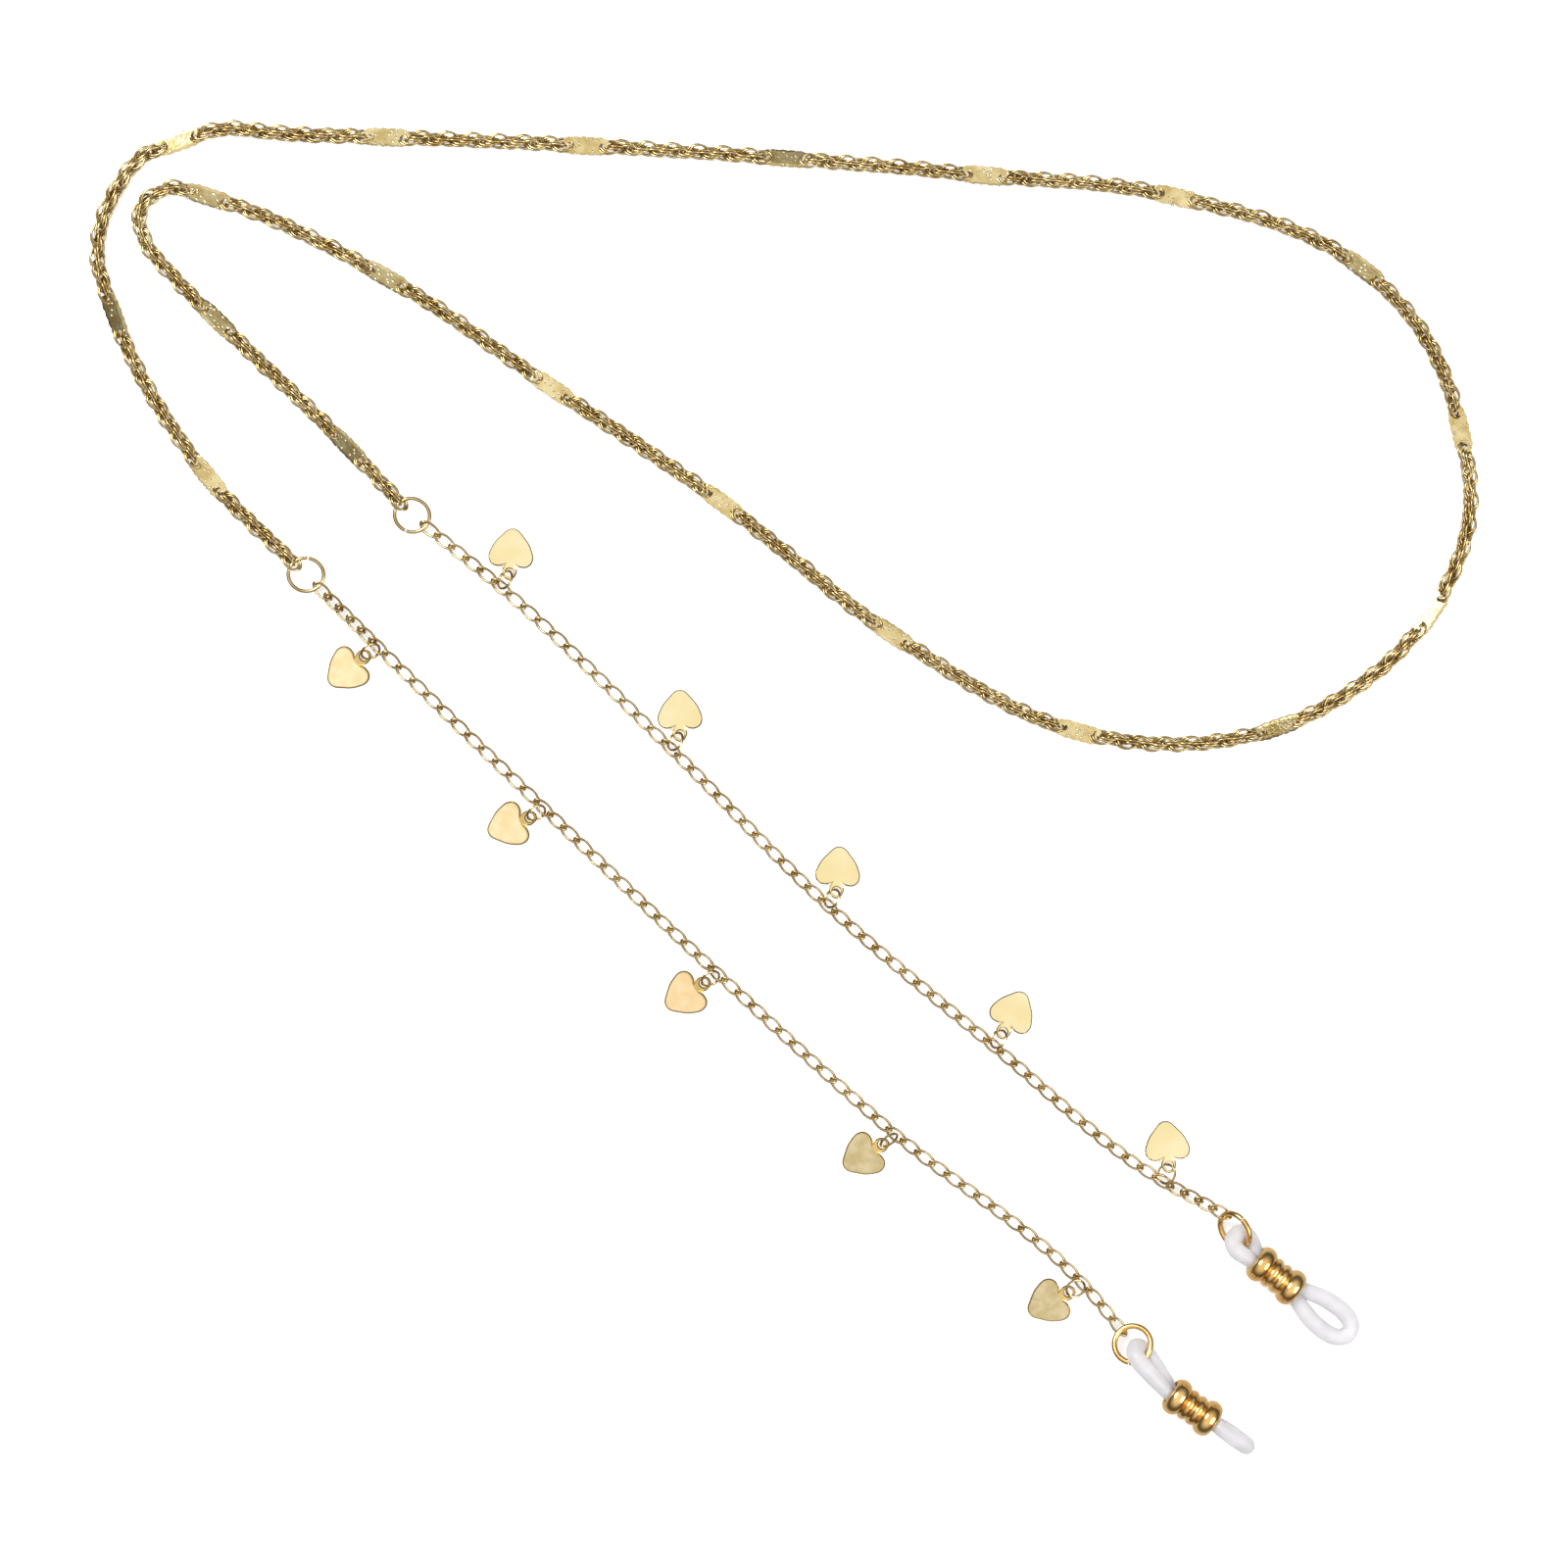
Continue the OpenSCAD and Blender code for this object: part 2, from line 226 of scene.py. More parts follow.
def finish_piece(piece, material, node_name):
    """Gives a piece its material and its body, and hides the CAD node it stands for."""
    piece.data.materials.clear()
    piece.data.materials.append(material)
    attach(piece, body_of_node[node_name])
    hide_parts(node_name)


body_of_node = {n: b for b, ns in frame["record"]["behaviour"]["bodies"].items() for n in ns}


def gold_plate(name, face, shade, roughness, patch, grit, grit_depth):
    """Gold plating over brass: a warm metal whose tone drifts a little from place to place, with a
    fine grit or drawing mark in its surface. patch and grit are sizes in millimetres."""
    made = bpy.data.materials.new(name)
    made.use_nodes = True
    tree = made.node_tree
    shader = tree.nodes["Principled BSDF"]
    where = add_node(tree, "ShaderNodeTexCoord", {}, {})
    drift = add_node(tree, "ShaderNodeTexNoise", {},
                     {"Vector": where.outputs["Object"], "Scale": 1000 / patch, "Detail": 2.0})
    spread = add_node(tree, "ShaderNodeMapRange", {},
                      {"Value": drift.outputs["Fac"], "From Min": 0.35, "From Max": 0.65})
    tone = add_node(tree, "ShaderNodeMix", {"data_type": "RGBA"}, {"Factor": spread.outputs["Result"]})
    tone.inputs[6].default_value = linear(face)
    tone.inputs[7].default_value = linear(shade)
    tree.links.new(tone.outputs[2], shader.inputs["Base Color"])
    grain = add_node(tree, "ShaderNodeTexNoise", {},
                     {"Vector": where.outputs["Object"], "Scale": 1000 / grit, "Detail": 3.0})
    rough = add_node(tree, "ShaderNodeMapRange", {},
                     {"Value": grain.outputs["Fac"], "To Min": roughness * 0.7, "To Max": roughness * 1.4})
    tree.links.new(rough.outputs["Result"], shader.inputs["Roughness"])
    relief = add_node(tree, "ShaderNodeBump", {},
                      {"Height": grain.outputs["Fac"], "Strength": 1.0, "Distance": grit_depth * mm})
    tree.links.new(relief.outputs["Normal"], shader.inputs["Normal"])
    shader.inputs["Metallic"].default_value = 1.0
    return made


# Champagne gold plating on drawn brass wire: bright, with soft drawing marks
chain_gold = gold_plate("champagne_gold_on_brass_wire", "D4BF8C", "B59A62", 0.2, 2.5, 0.25, 0.01)


def bent_oval(length, width, wire):
    """One closed oval of wire in the XY plane, its length along X; sizes in millimetres, outside."""
    deselect()
    bpy.ops.mesh.primitive_torus_add(
        major_segments=16, minor_segments=6, major_radius=(width - wire) / 2 * mm, minor_radius=wire / 2 * mm)
    made = bpy.context.object
    bpy.ops.object.mode_set(mode="EDIT")
    bpy.ops.mesh.select_all(action="SELECT")
    bpy.ops.transform.resize(value=((length - wire) / (width - wire), 1, 1))
    bpy.ops.object.mode_set(mode="OBJECT")
    bpy.ops.object.shade_smooth()
    return made


wide_oval = bent_oval(2.5, 1.9, 0.25)
slim_oval = bent_oval(2.3, 1.45, 0.25)
for node_name in [n for n in frame["nodes"] if n.startswith("neck_links_")]:
    lies = [lie_of(p) for p in solids_of(node_name)]
    stations = []
    while lies:
        middle, _, thin = lies.pop(0)
        mate = min(lies, key=lambda lie: (lie[0] - middle).length)
        lies.remove(mate)
        if (mate[0] - middle).length < 0.4 * chain_pitch * mm:
            stations.append(((middle + mate[0]) / 2, 1 if abs(thin.z) > 0.5 else -1))
        else:
            # In the tightest turn the wires of two stations touch and are read as one shape
            one, other = (middle, mate[0]) if abs(thin.z) > 0.5 else (mate[0], middle)
            stations.append((one * 2 - other, 1))
            stations.append((other, -1))
    # The twins of each station lean 30 degrees over, to one side and to the other in turn, and half
    # way to the next a slimmer pair stands steeply through both, so that the chain looks like a rope
    places = []
    for middle, lie in stations:
        near = sorted(stations, key=lambda s: (s[0] - middle).length)[1:3]
        ahead = near[0][0] - middle
        if (near[1][0] - middle).length < 1.4 * chain_pitch * mm:
            ahead = near[1][0] - near[0][0]
        sway = 0.08 * lie + 0.02 * math.sin(middle.x / (1.7 * mm))
        roll = 30 * lie + 12 * math.sin(middle.x / (4.3 * mm) - middle.y / (3.1 * mm))
        places.append((wide_oval, middle, ahead, sway, roll))
        for other, _ in near:
            if (other - middle).length < 1.1 * chain_pitch * mm and rightward(other - middle) > 0:
                roll = 72 * lie + 14 * math.sin(middle.x / (0.9 * mm) + middle.y / (1.3 * mm))
                places.append((slim_oval, (other + middle) / 2, other - middle, 0.0, roll))
    ovals = []
    for oval, middle, ahead, sway, roll in places:
        ahead = ahead if rightward(ahead) > 0 else -ahead
        ahead = Vector((ahead.x, ahead.y, 0)).normalized()
        thin = Matrix.Rotation(math.radians(roll), 3, ahead) @ Vector((0, 0, 1))
        middle = middle + Vector((-ahead.y * sway, ahead.x * sway, -drop)) * mm
        for side in (-1, 1):
            spot = middle + thin * side * twin_half * mm + ahead * side * twin_stagger * mm
            ovals.append(copy_of(oval, "oval", frame_at(spot, ahead, thin)))
    chain = join(ovals, node_name.replace("neck_links", "twin_ovals"))
    finish_piece(chain, chain_gold, node_name)
bpy.data.objects.remove(wide_oval)
bpy.data.objects.remove(slim_oval)

# Bars. Flat brass strips let into the neck chain, stamped with wavy long sides that narrow to the
# ends, pierced at both ends for the links, then gold plated. Their rims are lightly hammered.
bar_length = 5.3
bar_width = 2.1
bar_thickness = 0.36
bar_hole = 0.6
bar_hole_from_middle = 1.95
bar_rise = 0.5  # how far the middle of a bar would rise if the bar stood on its side
bar_narrowing = 0.3  # the share of the width that is gone at the very ends
# How far each bar leans over on the table, from the first to the last, in degrees
bar_leans = [29, -25, 23, 24, -5, 2, -12, 3, 26, -18, 2, 28, -3, 19, -23, 12, 18, -2, 29, 10]

# Pale gold plating on stamped brass: nearly mirror flat, with small hammer dents, each also painted lighter as a
# painted glint
bar_gold = gold_plate("pale_gold_on_hammered_brass", "EBD9A4", "CDB374", 0.16, 1.6, 0.35, 0.035)
tree = bar_gold.node_tree
shader = tree.nodes["Principled BSDF"]
where = add_node(tree, "ShaderNodeTexCoord", {}, {})
# The hammer's marks: small round dents on a grid of about 0.5 mm, a third of them struck. Each struck dent is
# bumped into the surface, and its colour is lightened as a painted glint
blows = add_node(tree, "ShaderNodeTexVoronoi", {"voronoi_dimensions": "2D"}, {
    "Vector": where.outputs["Object"], "Scale": 1000 / 0.5})
dent = add_node(tree, "ShaderNodeMapRange", {}, {
    "Value": blows.outputs["Distance"], "From Min": 0.14, "From Max": 0.28, "To Min": 1.0, "To Max": 0.0})
chance = add_node(tree, "ShaderNodeSeparateColor", {}, {"Color": blows.outputs["Color"]})
struck = add_node(tree, "ShaderNodeMath", {"operation": "GREATER_THAN"}, {0: chance.outputs["Red"], 1: 0.62})
dent_and_painted_glint = add_node(tree, "ShaderNodeMath", {"operation": "MULTIPLY"}, {
    0: dent.outputs["Result"], 1: struck.outputs[0]})
# Painted glint: inside each struck dent the base colour goes towards a near-white gold, standing in for light
# caught by the dent
painted_glint = add_node(tree, "ShaderNodeMix", {"data_type": "RGBA"}, {"Factor": dent_and_painted_glint.outputs[0]})
tree.links.new(shader.inputs["Base Color"].links[0].from_socket, painted_glint.inputs[6])
painted_glint.inputs[7].default_value = linear("FFF3D2")
tree.links.new(painted_glint.outputs[2], shader.inputs["Base Color"])
struck_relief = add_node(tree, "ShaderNodeBump", {"invert": True}, {
    "Height": dent_and_painted_glint.outputs[0], "Strength": 1.0, "Distance": 0.05 * mm,
    "Normal": shader.inputs["Normal"].links[0].from_socket})
tree.links.new(struck_relief.outputs["Normal"], shader.inputs["Normal"])


def select_faces(piece, wanted):
    """In edit mode, selects the faces for which wanted(middle, normal) is true, and no others."""
    bpy.ops.object.mode_set(mode="EDIT")
    bpy.ops.mesh.select_mode(type="FACE")
    bpy.ops.mesh.select_all(action="DESELECT")
    bpy.ops.object.mode_set(mode="OBJECT")
    for face in piece.data.polygons:
        face.select = wanted(face.center, face.normal)
    bpy.ops.object.mode_set(mode="EDIT")


def select_points(piece, wanted):
    """In edit mode, selects the corners for which wanted(place) is true, and no others."""
    bpy.ops.object.mode_set(mode="EDIT")
    bpy.ops.mesh.select_mode(type="VERT")
    bpy.ops.mesh.select_all(action="DESELECT")
    bpy.ops.object.mode_set(mode="OBJECT")
    for corner in piece.data.vertices:
        corner.select = wanted(corner.co)
    bpy.ops.object.mode_set(mode="EDIT")


def apply_modifier(piece, kind, **settings):
    """Adds a modifier, sets it and applies it."""
    bpy.ops.object.mode_set(mode="OBJECT")
    made = piece.modifiers.new(kind.lower(), kind)
    for name, value in settings.items():
        setattr(made, name, value)
    deselect()
    piece.select_set(True)
    bpy.context.view_layer.objects.active = piece
    bpy.ops.object.modifier_apply(modifier=made.name)


deselect()
columns = 28
bpy.ops.mesh.primitive_grid_add(x_subdivisions=columns, y_subdivisions=6, size=1)
bar = bpy.context.object
bpy.ops.object.mode_set(mode="EDIT")
bpy.ops.mesh.select_all(action="SELECT")
bpy.ops.transform.resize(value=(bar_length * mm, bar_width * mm, 1))
for k in range(columns + 1):
    x = (k / columns - 0.5) * bar_length * mm
    select_points(bar, lambda at: abs(at.x - x) < 0.01 * mm)
    end = abs(2 * k / columns - 1)
    wave = 1 + 0.05 * math.sin(k * 1.15) + 0.03 * math.sin(k * 2.7 + 1)
    width = (1 - bar_narrowing * end ** 6) * wave
    bpy.ops.transform.resize(value=(1, width, 1), center_override=(x, 0, 0))
bpy.ops.object.mode_set(mode="OBJECT")
apply_modifier(bar, "SOLIDIFY", thickness=bar_thickness * mm, offset=0)
cutters = []
for side in (-1, 1):
    deselect()
    bpy.ops.mesh.primitive_cylinder_add(
        vertices=24, radius=bar_hole / 2 * mm, depth=2 * mm,
        location=(side * bar_hole_from_middle * mm, 0, 0))
    cutters.append(bpy.context.object)
for cutter in cutters:
    apply_modifier(bar, "BOOLEAN", object=cutter, operation="DIFFERENCE", solver="EXACT")
    bpy.data.objects.remove(cutter)
apply_modifier(bar, "BEVEL", width=0.05 * mm, segments=2, limit_method="ANGLE", angle_limit=math.radians(50))
deselect()
bar.select_set(True)
bpy.context.view_layer.objects.active = bar
bpy.ops.object.shade_smooth_by_angle(angle=math.radians(40))

bar_number = 0
last_place, _, _ = lie_of(solids_of("junction_ring_a")[0])
for node_name in sorted(n for n in frame["nodes"] if n.startswith("neck_bars_")):
    lies = [lie_of(p) for p in solids_of(node_name)]
    made = []
    while lies:
        middle, along, thin = min(lies, key=lambda lie: (lie[0] - last_place).length)
        lies = [lie for lie in lies if lie[0] != middle]
        last_place = middle
        lean = bar_leans[bar_number]
        bar_number += 1
        along = along if rightward(along) > 0 else -along
        up = Matrix.Rotation(math.radians(lean), 3, along) @ Vector((0, 0, 1))
        # A leaning bar rests on one long side, so its middle is higher
        spot = middle + Vector((0, 0, abs(math.sin(math.radians(lean))) * bar_rise * mm))
        made.append(copy_of(bar, "bar", frame_at(spot, along, up)))
    bars = join(made, node_name.replace("neck_bars", "stamped_bars"))
    finish_piece(bars, bar_gold, node_name)
bpy.data.objects.remove(bar)


# Junction rings. One at each end of the neck chain joins it to a strand: a wire ring bent round a
# mandrel by hand and closed butt to butt, so it is a little out of round and its cut still shows.
def cut_ring(middle_radius, wire, rounds, sides):
    """A wire ring in the XY plane with its cut at the end of +X: the two wire ends almost touch."""
    deselect()
    bpy.ops.mesh.primitive_torus_add(
        major_segments=rounds, minor_segments=sides, major_radius=middle_radius * mm,
        minor_radius=wire / 2 * mm)
    ring = bpy.context.object
    edge = math.pi / rounds
    select_faces(ring, lambda at, way: abs(math.atan2(at.y, at.x) - edge) < edge * 0.9)
    bpy.ops.mesh.delete(type="FACE")
    bpy.ops.mesh.select_mode(type="EDGE")
    bpy.ops.mesh.select_all(action="SELECT")
    bpy.ops.mesh.region_to_loop()
    bpy.ops.mesh.edge_face_add()
    bpy.ops.mesh.select_all(action="SELECT")
    bpy.ops.mesh.normals_make_consistent(inside=False)
    bpy.ops.object.mode_set(mode="OBJECT")
    bpy.ops.object.shade_smooth_by_angle(angle=math.radians(40))
    return ring


junction_radius = 2.03
junction_wire = 0.44
out_of_round = (0.965, 1.03, 1)
for side, cut in (("a", -115), ("b", 80)):
    node_name = "junction_ring_" + side
    middle, _, _ = lie_of(solids_of(node_name)[0])
    ring = cut_ring(junction_radius, junction_wire, 72, 12)
    bpy.ops.object.mode_set(mode="EDIT")
    bpy.ops.mesh.select_all(action="SELECT")
    bpy.ops.transform.resize(value=out_of_round)
    bpy.ops.object.mode_set(mode="OBJECT")
    ring.data.transform(Matrix.Translation(middle) @ Euler((0, 0, math.radians(cut))).to_matrix().to_4x4())
    ring.name = "bent_junction_ring_" + side
    finish_piece(ring, chain_gold, node_name)

# Strands. Gold-toned curb chain: each wire oval is closed and then twisted, so that the chain lies
# flat and every link shows one side in front of the next.
curb_length = 2.85
curb_width = 1.55
curb_wire = 0.28
curb_twist = -76  # degrees from one end of a link to the other
# Pale champagne plating on drawn wire: brighter than the neck chain, edges going brown in shade
strand_gold = gold_plate("pale_champagne_on_brass_wire", "CAB384", "AF9460", 0.18, 3.0, 0.25, 0.008)
deselect()
bpy.ops.mesh.primitive_torus_add(
    major_segments=24, minor_segments=8, major_radius=(curb_width - curb_wire) / 2 * mm,
    minor_radius=curb_wire / 2 * mm)
curb = bpy.context.object
bpy.ops.object.mode_set(mode="EDIT")
bpy.ops.mesh.select_all(action="SELECT")
bpy.ops.transform.resize(value=((curb_length - curb_wire) / (curb_width - curb_wire), 1, 1))
apply_modifier(curb, "SIMPLE_DEFORM", deform_method="TWIST", deform_axis="X", angle=math.radians(curb_twist))
bpy.ops.object.shade_smooth()
for node_name in sorted(n for n in frame["nodes"] if n.startswith("strand_")):
    made = []
    for points in solids_of(node_name):
        middle, along, _ = lie_of(points)
        roll = 7 * math.sin(middle.x / (5.7 * mm) + middle.y / (3.9 * mm))
        up = Matrix.Rotation(math.radians(roll), 3, along) @ Vector((0, 0, 1))
        made.append(copy_of(curb, "curb", frame_at(middle, along, up)))
    strand = join(made, node_name.replace("strand", "curb_strand"))
    finish_piece(strand, strand_gold, node_name)
bpy.data.objects.remove(curb)

# Jump rings. A small ring of round wire hangs each heart from one curb link; it is opened sideways,
# passed through the link and the heart's eye, and pinched shut.
jump_radius = 1.12
jump_wire = 0.3
# How much a ring lies over towards the table: 0 is nearly upright, 2 nearly flat
jump_flatness = {"a5": 1.0, "b4": 0.2, "b5": 1.4}
for side in "ab":
    for k in range(1, 6):
        node_name = "jump_ring_%s%d" % (side, k)
        middle, along, thin = lie_of(solids_of(node_name)[0])
        ring = cut_ring(jump_radius, jump_wire, 48, 8)
        turn = Matrix.Rotation(math.radians(37 * k + 20), 4, "Z")
        thin = thin if thin.z > 0 else -thin
        flatter = (thin + Vector((0, 0, jump_flatness.get(side + str(k), 0.5)))).normalized()
        out = thin.cross(Vector((0, 0, 1)))
        ring.data.transform(frame_at(middle, out, flatter) @ turn)
        ring.name = "pinched_ring_%s%d" % (side, k)
        finish_piece(ring, strand_gold, node_name)

# Hearts. Flat charms stamped from brass sheet with an eye at the top, deburred and gold plated. Those
# of strand A are polished like mirrors; those of strand B have a brushed face inside a bright rim.
heart_thickness = 0.38
heart_outline = [
    (5.3, 0.0), (4.2, 1.5), (2.8, 2.4), (1.6, 2.62), (0.85, 2.1), (0.72, 1.25), (0.95, 0.62),
    (0.0, 0.86), (-0.86, 0.0), (0.0, -0.86), (0.95, -0.62), (0.72, -1.25), (0.85, -2.1),
    (1.6, -2.62), (2.8, -2.4), (4.2, -1.5)]
heart_sharp = (6, 10)  # the outline's corners where the eye's tab meets the lobes
heart_eye = 1.0
heart_chamfer = 0.13
face_step = 0.015  # how far the brushed face stands above the rim, on both sides
face_chamfer = 0.02
# The brushed face: the same outline drawn in by the width of the rim, and without the eye's tab
face_outline = [
    (5.08, 0.0), (4.08, 1.38), (2.74, 2.22), (1.66, 2.42), (1.08, 1.98), (0.98, 1.3), (1.2, 0.5),
    (1.2, -0.5), (0.98, -1.3), (1.08, -1.98), (1.66, -2.42), (2.74, -2.22), (4.08, -1.38)]
# Mirror-polished pale gold: a clean bright face, a hint of orange peel
mirror_gold = gold_plate("mirror_polished_pale_gold", "FBEBBB", "F5E1A8", 0.06, 4.0, 0.8, 0.003)
# Bright rim of a brushed heart
rim_gold = gold_plate("bright_cut_gold_rim", "E6CC8C", "D2B470", 0.12, 3.0, 0.4, 0.008)
# Brushed gold: satin face with short fine scratches; they are really 0.02 mm wide, drawn as 0.12
brushed_gold = gold_plate("brushed_satin_gold", "F7DDB0", "EFD09C", 0.3, 1.2, 0.12, 0.02)
# The last two hearts of strand B: the same brushing, with a duller and more olive tone
dull_gold = gold_plate("brushed_olive_gold", "D4C49A", "C2AE80", 0.34, 1.2, 0.12, 0.03)


def stamped_plate(outline, sharp, eye, thickness, chamfer):
    """A flat plate of a given outline in the XY plane, with its edges chamfered, and its eye pierced
    where it has one."""
    rings = []
    for points in (outline, None) if eye else (outline,):
        deselect()
        bpy.ops.curve.primitive_bezier_circle_add(radius=(eye or 1) / 2 * mm)
        ring = bpy.context.object
        ring.data.dimensions = "2D"
        ring.data.fill_mode = "BOTH"
        ring.data.resolution_u = 6
        rings.append(ring)
        if points:
            spline = ring.data.splines[0]
            spline.bezier_points.add(len(points) - len(spline.bezier_points))
            for k, (x, y) in enumerate(points):
                point = spline.bezier_points[k]
                point.co = (x * mm, y * mm, 0)
                point.handle_left_type = point.handle_right_type = "VECTOR" if k in sharp else "AUTO"
    deselect()
    for ring in rings:
        ring.select_set(True)
    bpy.context.view_layer.objects.active = rings[0]
    if len(rings) > 1:
        bpy.ops.object.join()
    plate = rings[0]
    plate.data.extrude = (thickness / 2 - chamfer) * mm
    plate.data.bevel_depth = chamfer * mm
    plate.data.bevel_resolution = 0
    plate.data.offset = -chamfer * mm
    bpy.ops.object.convert(target="MESH")
    plate = bpy.context.object
    bpy.ops.object.mode_set(mode="EDIT")
    bpy.ops.mesh.select_all(action="SELECT")
    bpy.ops.mesh.remove_doubles(threshold=0.0005 * mm)
    bpy.ops.mesh.normals_make_consistent(inside=False)
    bpy.ops.object.mode_set(mode="OBJECT")
    bpy.ops.object.shade_smooth_by_angle(angle=math.radians(30))
    return plate


for side, numbers, finish in (
        ("a", (1, 2, 3, 4, 5), None),
        ("b", (1, 2, 3), brushed_gold),
        ("b", (4, 5), dull_gold)):
    pattern = stamped_plate(heart_outline, heart_sharp, heart_eye, heart_thickness, heart_chamfer)
    if finish is None:
        pattern.data.materials.append(mirror_gold)
    else:
        face = stamped_plate(face_outline, (), 0, heart_thickness + 2 * face_step, face_chamfer)
        pattern.data.materials.append(rim_gold)
        face.data.materials.append(finish)
        pattern = join([pattern, face], "brushed_pattern")
    for k in numbers:
        node_name = "heart_%s%d" % (side, k)
        joint = [j for j in frame["joints"] if j["child"] == node_name][0]
        eye = Vector(joint["pos_m"])
        points = solids_of(node_name)[0]
        tip = Vector(max(points, key=lambda p: (Vector(p) - eye).length))
        _, _, thin = lie_of(points)
        up = thin if thin.z > 0 else -thin
        along = tip - eye
        along -= up * along.dot(up)
        heart = copy_of(pattern, "stamped_heart_%s%d" % (side, k), frame_at(eye, along, up))
        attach(heart, body_of_node[node_name])
        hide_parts(node_name)
    bpy.data.objects.remove(pattern)

# End rings. Heavier split rings of deep gold-plated wire, one at each strand's end: the last curb
# link and the soft loop both hang in it. Its cut is pressed shut but stays visible.
end_ring_radius = 2.15
end_ring_wire = 0.7
# Deep gold plating: richer and more orange than the chain
deep_gold = gold_plate("deep_gold_on_brass", "F5CC86", "E6B266", 0.16, 3.5, 0.6, 0.008)
for side, cut in (("a", 60), ("b", -105)):
    node_name = "end_ring_" + side
    middle, along, thin = lie_of(solids_of(node_name)[0])
    thin = thin if thin.z > 0 else -thin
    ring = cut_ring(end_ring_radius, end_ring_wire, 96, 16)
    flat = Vector((1, 0, 0)) - thin * thin.x
    ring.data.transform(frame_at(middle, flat, thin) @ Matrix.Rotation(math.radians(cut), 4, "Z"))
    ring.name = "split_end_ring_" + side
    finish_piece(ring, deep_gold, node_name)

# Beads. Turned brass barrels with a fat rim at each end and two slimmer ribs between, plated deep
# gold; the soft loop's two legs are drawn through the bore, and the bead slides on them to grip.
bead_length = 6.5
# Half of the section, mouth first: radius and distance from the mouth
bead_profile = [
    (1.5, 0.28), (1.52, 0.12), (1.6, 0.06), (1.76, 0.12), (1.98, 0.3), (2.14, 0.56), (2.23, 0.86),
    (2.25, 1.12), (2.22, 1.38), (2.12, 1.65), (1.95, 1.88), (1.76, 2.04), (1.66, 2.1), (1.64, 2.16),
    (1.72, 2.22), (1.82, 2.34), (1.89, 2.5), (1.91, 2.66), (1.89, 2.82), (1.82, 2.98), (1.72, 3.1),
    (1.64, 3.16), (1.6, 3.25)]


def turned_bead():
    """A bead along +X with its mouth at the origin, turned from half a section and its mirror image."""
    deselect()
    bpy.ops.mesh.primitive_circle_add(vertices=3, radius=mm)
    bead = bpy.context.object
    bpy.ops.object.mode_set(mode="EDIT")
    bpy.ops.mesh.select_all(action="SELECT")
    bpy.ops.mesh.delete(type="VERT")
    bpy.ops.object.mode_set(mode="OBJECT")
    full = bead_profile + [(r, bead_length - x) for r, x in reversed(bead_profile[:-1])]
    section = [(x * mm, 0, r * mm) for r, x in full]
    edges = [(k, (k + 1) % len(full)) for k in range(len(full))]
    bead.data.from_pydata(section, edges, [])
    bpy.ops.object.mode_set(mode="EDIT")
    bpy.ops.mesh.select_all(action="SELECT")
    bpy.ops.mesh.spin(steps=64, angle=2 * math.pi, center=(0, 0, 0), axis=(1, 0, 0))
    bpy.ops.mesh.select_all(action="SELECT")
    bpy.ops.mesh.remove_doubles(threshold=0.002 * mm)
    bpy.ops.mesh.normals_make_consistent(inside=False)
    bpy.ops.object.mode_set(mode="OBJECT")
    bpy.ops.object.shade_smooth_by_angle(angle=math.radians(50))
    return bead


bead = turned_bead()
bead_axes = {}
for side in "ab":
    node_name = "bead_" + side
    middle, _, _ = lie_of(solids_of(node_name)[0])
    slide = [j for j in frame["joints"] if j["child"] == node_name][0]
    along = Vector(slide["axis"])
    mouth = middle - along * bead_length / 2 * mm
    bead_axes[side] = (mouth, along)
    made = copy_of(bead, "turned_bead_" + side, frame_at(mouth, along, Vector((0, 0, 1))))
    finish_piece(made, deep_gold, node_name)
bpy.data.objects.remove(bead)

# Soft loops. One length of milky silicone cord, moulded round, doubled and drawn through the bead:
# a small bight holds the end ring on one side, and the larger loop on the other grips a temple.
cord_width = 2.05
# Milky translucent silicone: light goes in and comes out soft, with a waxy shine and faint streaks
silicone = bpy.data.materials.new("milky_translucent_silicone")
silicone.use_nodes = True
tree = silicone.node_tree
shader = tree.nodes["Principled BSDF"]
where = add_node(tree, "ShaderNodeTexCoord", {}, {})
streak = add_node(tree, "ShaderNodeTexNoise", {},
                  {"Vector": where.outputs["Object"], "Scale": 1000 / 1.5, "Detail": 3.0})
tone = add_node(tree, "ShaderNodeMix", {"data_type": "RGBA"}, {"Factor": streak.outputs["Fac"]})
tone.inputs[6].default_value = linear("F7F5F6")
tone.inputs[7].default_value = linear("DBD9DD")
tree.links.new(tone.outputs[2], shader.inputs["Base Color"])
relief = add_node(tree, "ShaderNodeBump", {},
                  {"Height": streak.outputs["Fac"], "Strength": 0.6, "Distance": 0.03 * mm})
tree.links.new(relief.outputs["Normal"], shader.inputs["Normal"])
shader.inputs["Roughness"].default_value = 0.35
shader.inputs["IOR"].default_value = 1.41
shader.inputs["Subsurface Weight"].default_value = 0.7
shader.inputs["Subsurface Radius"].default_value = (1.0, 1.0, 1.0)
shader.inputs["Subsurface Scale"].default_value = 0.9 * mm
shader.inputs["Transmission Weight"].default_value = 0.35

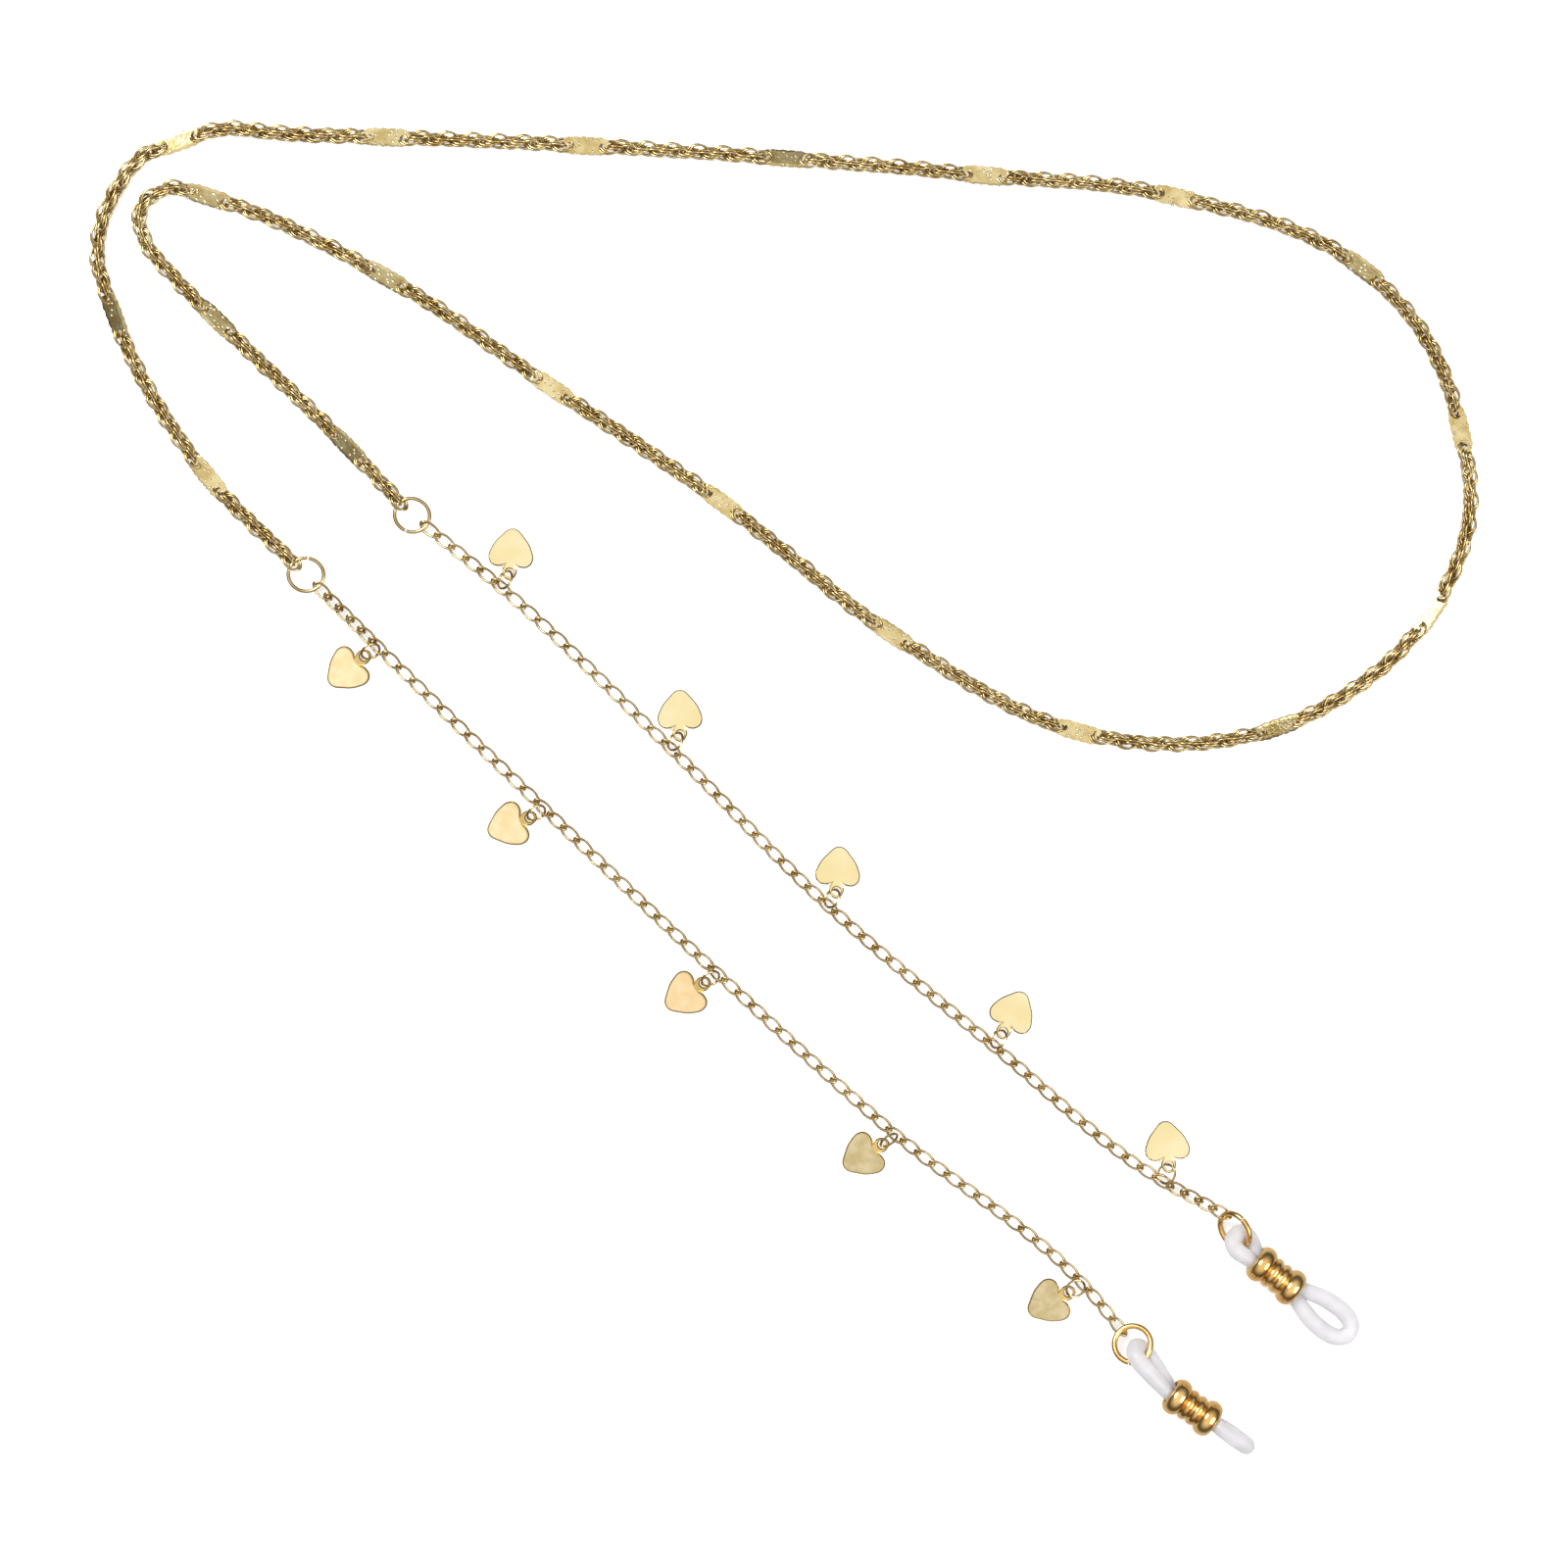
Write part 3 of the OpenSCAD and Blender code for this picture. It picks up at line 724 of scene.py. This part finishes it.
# The cord's middle line on each side of the bead, in millimetres out from the mouth, sideways in the
# loop's own plane, and the share of the cord's width that the squeeze in the bore leaves
bight_paths = {
    "a": [(-3.2, 0.5, 0.72), (-0.6, 0.5, 0.76), (0.4, 0.72, 0.88), (1.2, 1.05, 0.97), (2.1, 1.35, 1.0),
          (2.95, 1.2, 1.0), (3.38, 0.62, 1.0), (3.46, 0.0, 1.0)],
    "b": [(-3.2, 0.5, 0.72), (-0.4, 0.5, 0.76), (0.8, 0.72, 0.88), (2.2, 1.0, 0.97), (3.8, 1.35, 1.0),
          (5.1, 1.5, 1.0), (6.0, 1.18, 1.0), (6.42, 0.58, 1.0), (6.5, 0.0, 1.0)]}
temple_paths = {
    "a": [(-3.2, 0.5, 0.72), (-0.6, 0.52, 0.78), (0.8, 0.85, 0.9), (2.4, 1.35, 0.98), (4.2, 1.6, 1.0),
          (5.7, 1.56, 1.0), (6.8, 1.2, 1.0), (7.4, 0.62, 1.0), (7.56, 0.0, 1.0)],
    "b": [(-3.2, 0.5, 0.72), (-0.6, 0.52, 0.78), (0.6, 0.85, 0.9), (1.6, 1.3, 0.98), (2.9, 1.55, 1.0),
          (3.88, 1.25, 1.0), (4.35, 0.62, 1.0), (4.46, 0.0, 1.0)]}


def soft_cord(name, half_path, placing):
    """A tube of cord along a path and its mirror image, squeezed where the bead holds it."""
    path = [(x, y, share) for x, y, share in half_path]
    path += [(x, -y, share) for x, y, share in reversed(half_path[:-1])]
    line = bpy.data.curves.new(name, "CURVE")
    line.dimensions = "3D"
    line.bevel_depth = cord_width / 2 * mm
    line.bevel_resolution = 7
    line.resolution_u = 10
    line.use_fill_caps = True
    spline = line.splines.new("BEZIER")
    spline.bezier_points.add(len(path) - 1)
    for point, (x, y, share) in zip(spline.bezier_points, path):
        point.co = (x * mm, y * mm, 0)
        point.radius = share
        point.handle_left_type = point.handle_right_type = "AUTO"
    made = bpy.data.objects.new(name, line)
    bpy.context.scene.collection.objects.link(made)
    deselect()
    made.select_set(True)
    bpy.context.view_layer.objects.active = made
    bpy.ops.object.convert(target="MESH")
    made = bpy.context.object
    bpy.ops.object.mode_set(mode="EDIT")
    bpy.ops.mesh.select_all(action="SELECT")
    bpy.ops.mesh.remove_doubles(threshold=0.001 * mm)
    bpy.ops.mesh.normals_make_consistent(inside=False)
    bpy.ops.object.mode_set(mode="OBJECT")
    bpy.ops.object.shade_smooth()
    made.name = name
    made.data.transform(placing)
    return made


# How each bight turns off the bead's axis towards its ring, and how each loop rolls about that axis
bight_turns = {"a": (-12.5, 41), "b": (-17, 66)}
temple_rolls = {"a": 0, "b": 90}
for side in "ab":
    mouth, along = bead_axes[side]
    ahead = frame_at(mouth, along, Vector((0, 0, 1)))
    turn, roll = bight_turns[side]
    back = Matrix.Rotation(math.radians(180 + turn), 4, "Z")
    to_ring = ahead @ back @ Matrix.Rotation(math.radians(roll), 4, "X")
    far_mouth = ahead @ Matrix.Translation((bead_length * mm, 0, 0))
    to_temple = far_mouth @ Matrix.Rotation(math.radians(temple_rolls[side]), 4, "X")
    bight = soft_cord("soft_bight_" + side, bight_paths[side], to_ring)
    loop = soft_cord("soft_temple_loop_" + side, temple_paths[side], to_temple)
    for piece in (bight, loop):
        finish_piece(piece, silicone, "temple_loop_" + side)
    # A bead slid outwards closes the loop that it runs on: the temple's on side A, the ring's on side B. That loop
    # is only given a mesh of its own here.
    closing, lie = (loop, to_temple) if side == "a" else (bight, to_ring)
    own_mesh(closing)
